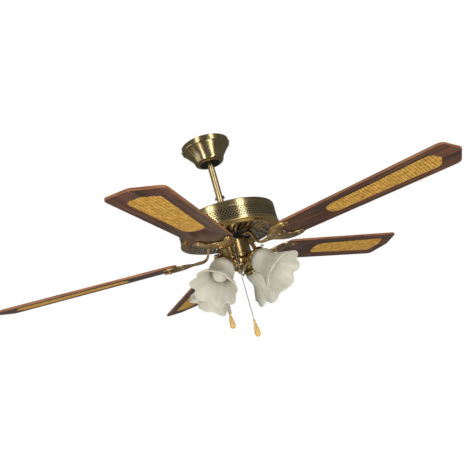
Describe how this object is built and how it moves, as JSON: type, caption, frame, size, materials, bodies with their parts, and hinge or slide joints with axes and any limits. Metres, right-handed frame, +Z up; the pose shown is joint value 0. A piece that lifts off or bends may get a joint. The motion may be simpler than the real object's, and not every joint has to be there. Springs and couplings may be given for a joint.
{
  "type": "ceiling fan with light",
  "caption": "Ceiling fan on a short downrod with walnut and cane blades on cast arms, a perforated brass drum and a branched light kit with frosted bell shades and pull chains.",
  "frame": {"origin": "centre of the hanger bracket's face on the ceiling", "axes": "+Z up into the ceiling, -Y the front between the two lamps that face it, +X to the right"},
  "size_m": [1.2322, 1.2558, 0.5867],
  "materials": {
    "brass": "polished antique",
    "steel": "zinc plated",
    "motor_iron": "lacquered",
    "black_metal": "satin",
    "walnut": "satin lacquer",
    "cane": "woven",
    "frosted_glass": "frosted",
    "bulb_glass": "opal",
    "porcelain": "glazed",
    "fob_wood": "lacquered",
    "plastic": "moulded"
  },
  "bodies": {
    "ceiling_mount": {"hanger_bracket": "steel", "canopy": "brass", "canopy_screw_right": "brass", "canopy_screw_left": "brass"},
    "fan": {"hanger_ball": "plastic", "ball_pin": "steel", "downrod": "brass", "coupling_bolt": "steel", "motor_shaft": "steel", "stator": "motor_iron", "drum_top": "brass", "drum_band": "brass", "drum_moulding": "brass", "vent_plate": "brass", "switch_housing": "brass", "capacitor": "plastic", "fan_switch": "brass", "light_switch": "brass", "reverse_switch": "plastic", "light_hub": "brass", "hub_finial": "brass", "lamp_holder_1": "brass", "lamp_socket_1": "porcelain", "bulb_1": "bulb_glass", "shade_1": "frosted_glass", "lamp_holder_2": "brass", "lamp_socket_2": "porcelain", "bulb_2": "bulb_glass", "shade_2": "frosted_glass", "lamp_holder_3": "brass", "lamp_socket_3": "porcelain", "bulb_3": "bulb_glass", "shade_3": "frosted_glass", "lamp_holder_4": "brass", "lamp_socket_4": "porcelain", "bulb_4": "bulb_glass", "shade_4": "frosted_glass"},
    "blades": {"rotor": "black_metal", "blade_iron_1": "brass", "blade_1": "walnut", "cane_panel_1": "cane", "blade_iron_2": "brass", "blade_2": "walnut", "cane_panel_2": "cane", "blade_iron_3": "brass", "blade_3": "walnut", "cane_panel_3": "cane", "blade_iron_4": "brass", "blade_4": "walnut", "cane_panel_4": "cane", "blade_iron_5": "brass", "blade_5": "walnut", "cane_panel_5": "cane"},
    "reverse_slider": {"reverse_slider": "plastic"},
    "fan_pull": {"fan_chain": "brass", "fan_fob": "fob_wood"},
    "light_pull": {"light_chain": "brass", "light_fob": "fob_wood"}
  },
  "joints": [
    {"name": "hanger_tilt", "type": "hinge", "parent": "ceiling_mount", "child": "fan", "pos_m": [0, 0, -0.034], "axis": [0, 1, 0], "range_deg": [-12, 12]},
    {"name": "blade_spin", "type": "hinge", "parent": "fan", "child": "blades", "pos_m": [0, 0, -0.299], "axis": [0, 0, 1], "continuous": true},
    {"name": "fan_chain_pull", "type": "slide", "parent": "fan", "child": "fan_pull", "axis": [0, 0, -1], "range_m": [0, 0.01], "stiffness_N_per_m": 150},
    {"name": "light_chain_pull", "type": "slide", "parent": "fan", "child": "light_pull", "axis": [0, 0, -1], "range_m": [0, 0.01], "stiffness_N_per_m": 150},
    {"name": "reverse_slide", "type": "slide", "parent": "fan", "child": "reverse_slider", "axis": [0, 0, -1], "range_m": [0, 0.0056]}
  ]
}
